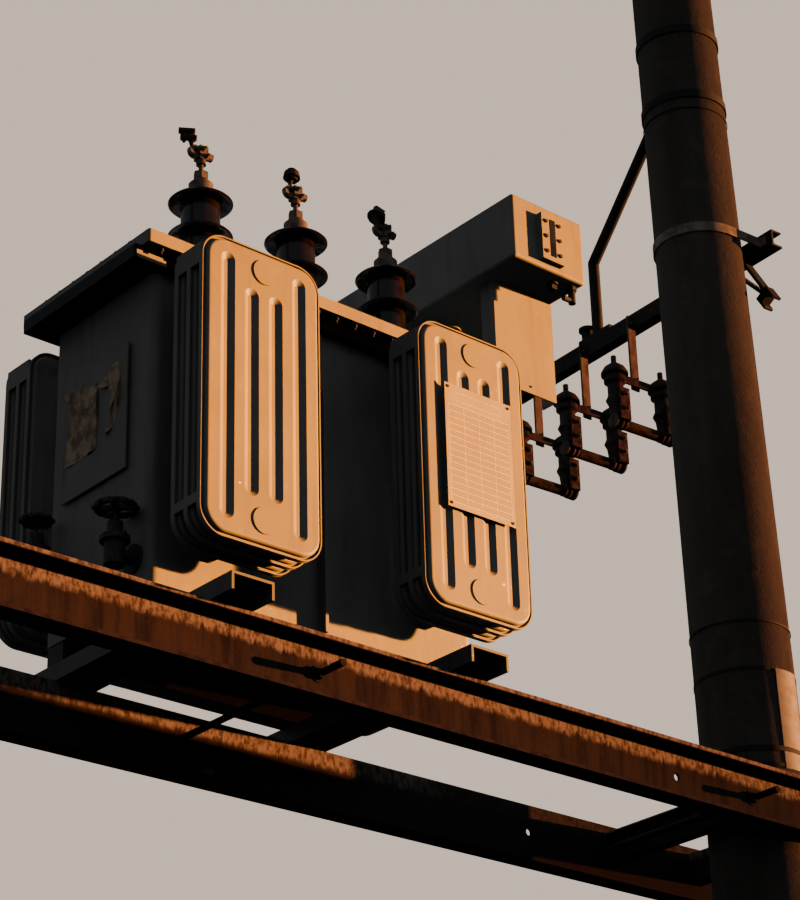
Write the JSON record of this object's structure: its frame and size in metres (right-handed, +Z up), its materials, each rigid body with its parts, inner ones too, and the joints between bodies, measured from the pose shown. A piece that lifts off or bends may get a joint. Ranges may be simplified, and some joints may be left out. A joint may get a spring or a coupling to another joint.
{
  "type": "pole mounted transformer",
  "caption": "Oil-filled transformer with pressed radiators and conservator on a steel platform between concrete poles, with bushings above and a crossarm of fuse units.",
  "frame": {"origin": "centre of the right pole's foot, at ground level", "axes": "+X along the platform's beams, away from the left pole; +Y from the front beam to the back beam; +Z up"},
  "size_m": [3.6194, 1.2032, 8.5],
  "materials": {
    "bare_plate": "bare pale sheet, dusty",
    "brown_porcelain": "dark brown glazed porcelain, smooth and glossy",
    "dark_cast_iron": "dark painted cast iron",
    "dark_steel": "dark painted steel",
    "fuse_tube_resin": "brown fibre and resin tube with worn surface",
    "galvanized_steel": "dull galvanized steel with brown stains",
    "gauge_housing": "grey painted housing with a glass strip",
    "grey_paint": "mid grey enamel, weathered and dusty",
    "rusty_steel": "old grey paint worn through to brown rust",
    "spun_concrete": null,
    "terminal_brass": "weathered brass and copper"
  },
  "bodies": {
    "root": {"back_beam": "rusty_steel", "back_drain_valve": "dark_cast_iron", "back_hand_wheel": "dark_cast_iron", "back_post": "grey_paint", "brace_band": "galvanized_steel", "brace_foot": "galvanized_steel", "conservator": "grey_paint", "conservator_drain": "dark_cast_iron", "conservator_pipe": "grey_paint", "conservator_plug": "dark_cast_iron", "cover": "grey_paint", "crossarm": "galvanized_steel", "crossarm_band": "galvanized_steel", "crossarm_brace": "galvanized_steel", "end_plate": "grey_paint", "frame_bars": "grey_paint", "front_beam": "rusty_steel", "front_drain_valve": "dark_cast_iron", "front_hand_wheel": "dark_cast_iron", "front_post": "grey_paint", "fuse_base_1": "brown_porcelain", "fuse_base_2": "brown_porcelain", "fuse_base_3": "brown_porcelain", "fuse_hanger_1": "galvanized_steel", "fuse_hanger_2": "galvanized_steel", "fuse_hanger_3": "galvanized_steel", "fuse_link_1": "fuse_tube_resin", "fuse_link_2": "fuse_tube_resin", "fuse_link_3": "fuse_tube_resin", "hv_bushing_left": "brown_porcelain", "hv_bushing_middle": "brown_porcelain", "hv_bushing_right": "brown_porcelain", "hv_terminal_left": "terminal_brass", "hv_terminal_middle": "terminal_brass", "hv_terminal_right": "terminal_brass", "left_back_radiator": "grey_paint", "left_front_radiator": "grey_paint", "left_pole": "spun_concrete", "left_pole_ties": "rusty_steel", "left_skid": "grey_paint", "lv_bushings": "brown_porcelain", "number_plate": "bare_plate", "oil_gauge": "gauge_housing", "rating_plate_holder": "bare_plate", "right_back_radiator": "grey_paint", "right_front_radiator": "grey_paint", "right_pole": "spun_concrete", "right_pole_ties": "rusty_steel", "right_skid": "grey_paint", "side_bracket": "galvanized_steel", "tank": "grey_paint", "tie_rods": "galvanized_steel", "upper_band": "dark_steel"}
  },
  "joints": []
}
